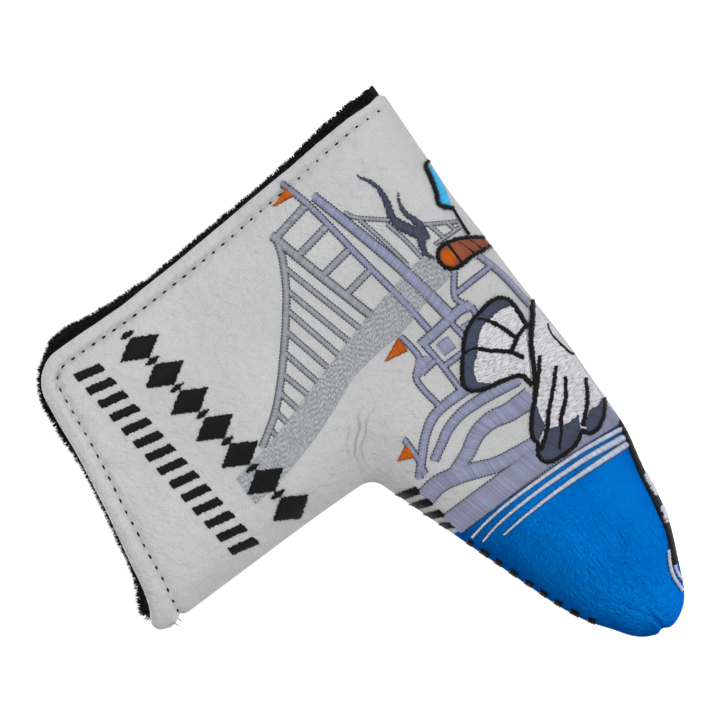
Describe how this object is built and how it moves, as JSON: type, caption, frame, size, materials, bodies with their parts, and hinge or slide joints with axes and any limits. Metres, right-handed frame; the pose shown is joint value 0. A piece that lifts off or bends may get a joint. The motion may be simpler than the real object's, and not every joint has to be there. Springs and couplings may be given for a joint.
{
  "type": "putter head cover",
  "caption": "Boot-shaped blade putter head cover: padded white leather with a blue toe, plush lining, a heel slit closed by hidden magnets, and harbour embroidery.",
  "frame": {"origin": "middle of the sole's flat, on the mid-plane between the two panels", "axes": "+Z from the sole up the neck, +X from the toe to the heel slit, -Y out of the embroidered front panel"},
  "size_m": [0.1665, 0.041, 0.1389],
  "materials": {
    "white_leather": "smooth white synthetic leather",
    "blue_leather": "pearl blue pebble-grain synthetic leather",
    "foam": "polyether foam padding",
    "plush": "black long-pile plush",
    "magnet": "nickel-plated magnet",
    "black_thread": "black satin embroidery thread",
    "grey_thread": "light grey embroidery thread",
    "lavender_thread": "lavender grey embroidery thread",
    "white_thread": "white embroidery thread",
    "slate_thread": "slate embroidery thread",
    "orange_thread": "orange embroidery thread",
    "brown_thread": "brown embroidery thread",
    "blue_thread": "sky blue embroidery thread",
    "silver_thread": "silver embroidery thread"
  },
  "bodies": {
    "cover": {"back_band": "lavender_thread", "back_hem_stitches": "grey_thread", "back_pattern": "black_thread", "back_stripes": "silver_thread", "back_waves": "lavender_thread", "blue_flag": "blue_thread", "bollard": "brown_thread", "bollard_top": "orange_thread", "border_band": "lavender_thread", "bridge": "grey_thread", "foam_padding": "foam", "front_hem_stitches": "grey_thread", "gull_outline": "black_thread", "gull_slate_tips": "slate_thread", "gull_white_wings": "white_thread", "harbour": "lavender_thread", "large_pattern": "black_thread", "outer_leather": "white_leather", "pennants": "orange_thread", "plush_lining": "plush", "small_pattern": "black_thread", "sole_line": "black_thread", "sole_patches": "white_thread", "toe_leather": "blue_leather", "toe_pattern": "black_thread", "toe_stripes": "silver_thread", "waves": "lavender_thread", "wisps": "slate_thread"},
    "front_flap": {"flap_bridge": "grey_thread", "flap_harbour": "lavender_thread", "flap_large_pattern": "black_thread", "flap_pennants": "orange_thread", "flap_small_pattern": "black_thread", "front_flap_foam": "foam", "front_flap_leather": "white_leather", "front_flap_lining": "plush", "front_flap_magnets": "magnet", "front_flap_stitches": "grey_thread"},
    "back_flap": {"back_flap_foam": "foam", "back_flap_leather": "white_leather", "back_flap_lining": "plush", "back_flap_magnets": "magnet", "back_flap_stitches": "grey_thread", "flap_back_pattern": "black_thread"}
  },
  "joints": [
    {"name": "front_flap_fold", "type": "hinge", "parent": "cover", "child": "front_flap", "pos_m": [0.03325, -0.01804, 0.073], "axis": [0.393, 0.0458, -0.9184], "range_deg": [0, 55]},
    {"name": "back_flap_fold", "type": "hinge", "parent": "cover", "child": "back_flap", "pos_m": [0.03325, 0.01804, 0.073], "axis": [-0.393, 0.0458, 0.9184], "range_deg": [0, 55]}
  ]
}
